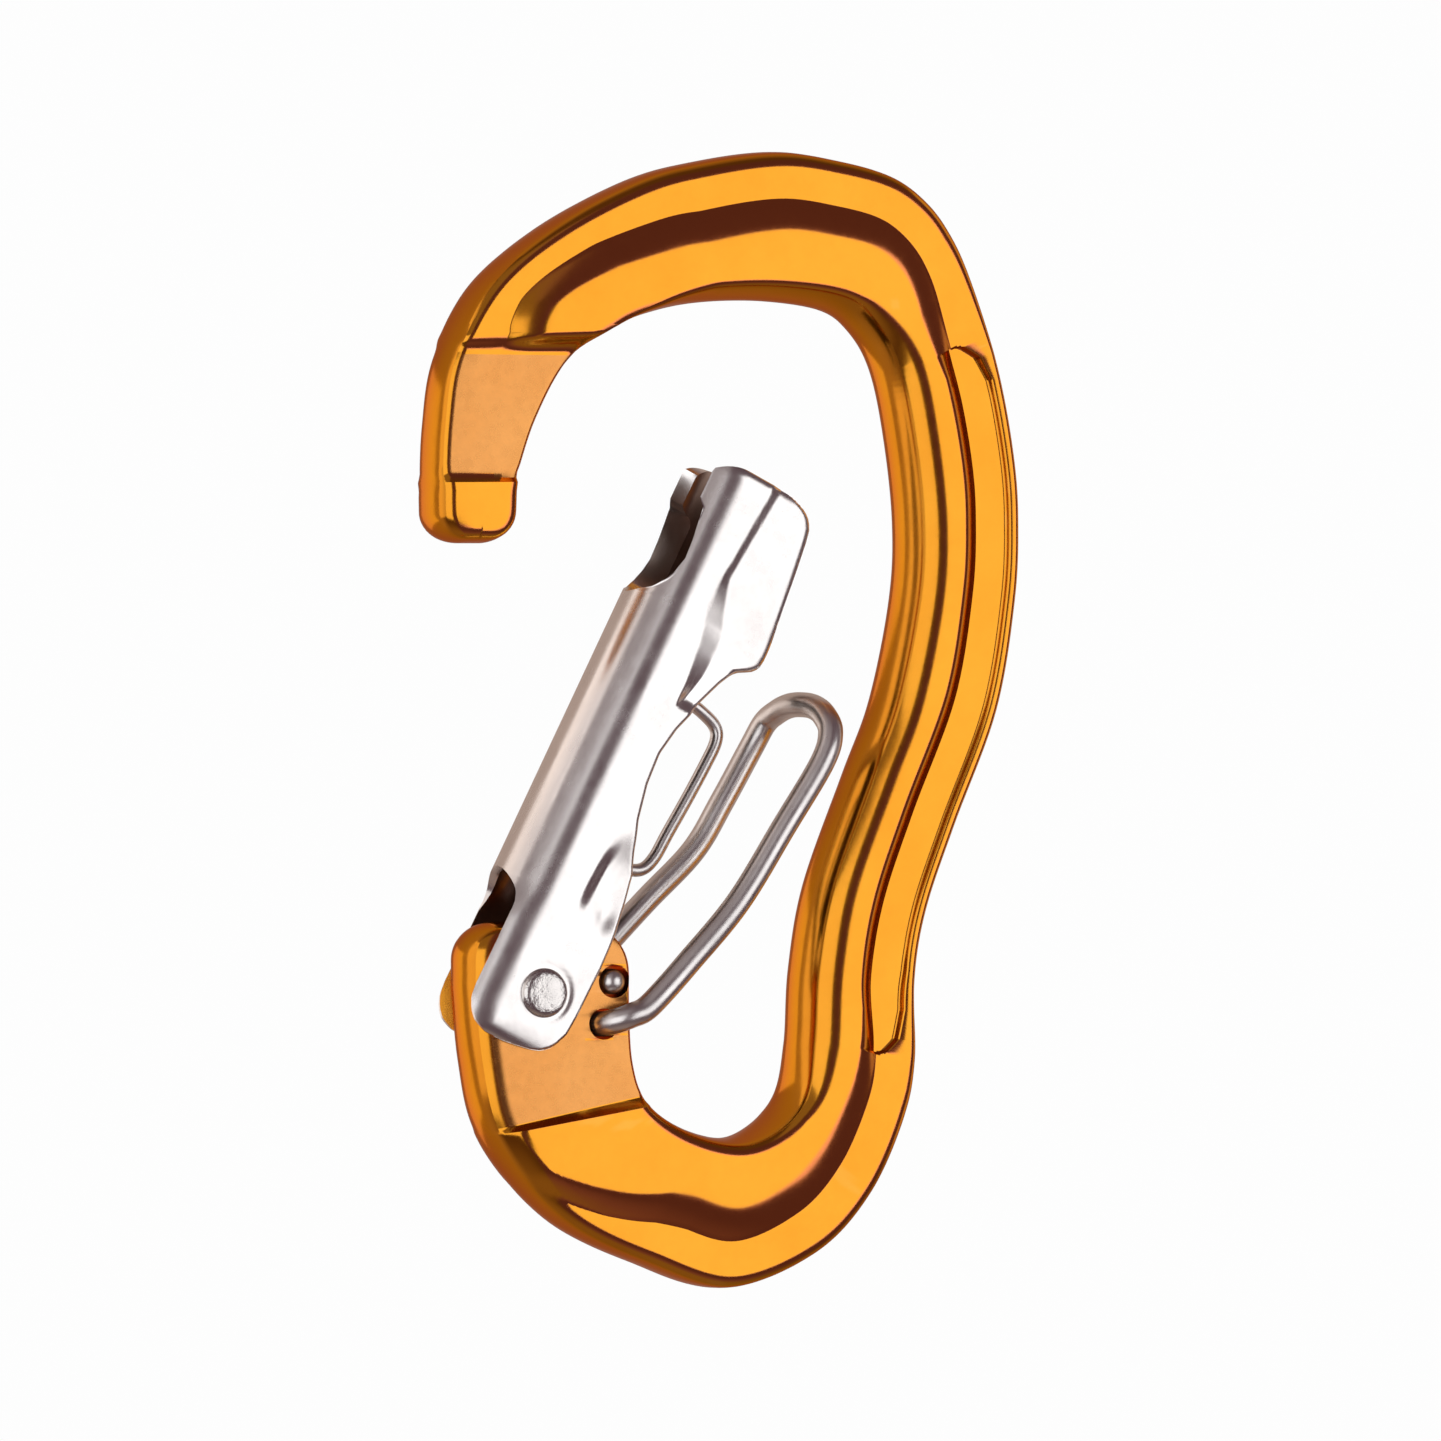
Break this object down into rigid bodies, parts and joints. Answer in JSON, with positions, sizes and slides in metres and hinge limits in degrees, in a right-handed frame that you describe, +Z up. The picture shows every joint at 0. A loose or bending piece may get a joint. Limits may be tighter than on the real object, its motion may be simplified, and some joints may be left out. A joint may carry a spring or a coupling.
{
  "type": "carabiner",
  "caption": "Forged aluminium locking carabiner: hook-shaped body, pressed-steel channel gate on a rivet, bent spring wire behind the gate.",
  "frame": {"origin": "top bearing point of the arch, in the middle of the thickness", "axes": "+Z up along the load line, +X from the gate side to the spine, +Y through the thickness"},
  "size_m": [0.058, 0.0124, 0.1039],
  "materials": {
    "orange_anodised": "bright orange anodised, polished",
    "gate_steel": "polished stainless sheet",
    "rivet_steel": "polished domed heads",
    "wire_steel": "drawn spring wire"
  },
  "bodies": {
    "forging": {"body": "orange_anodised"},
    "gate_assembly": {"gate": "gate_steel", "rivet": "rivet_steel"},
    "wire_near_half": {"wire_near": "wire_steel"},
    "wire_far_half": {"wire_far": "wire_steel"}
  },
  "joints": [
    {"name": "gate_hinge", "type": "hinge", "parent": "forging", "child": "gate_assembly", "pos_m": [-0.0202, 0, -0.063], "axis": [0, 1, 0], "range_deg": [-30, 0]},
    {"name": "wire_swing", "type": "hinge", "parent": "forging", "child": "wire_near_half", "pos_m": [-0.01385, 0, -0.0659], "axis": [0, 1, 0], "range_deg": [-33.1, 0]},
    {"name": "wire_flex", "type": "hinge", "parent": "wire_near_half", "child": "wire_far_half", "pos_m": [0.0072, 0, -0.0369], "axis": [0, 1, 0], "range_deg": [-4.1, 0]}
  ],
  "couplings": [
    {"joint": "wire_swing", "follows": "gate_hinge", "ratio": 1.1},
    {"joint": "wire_flex", "follows": "gate_hinge", "ratio": 0.1342}
  ]
}
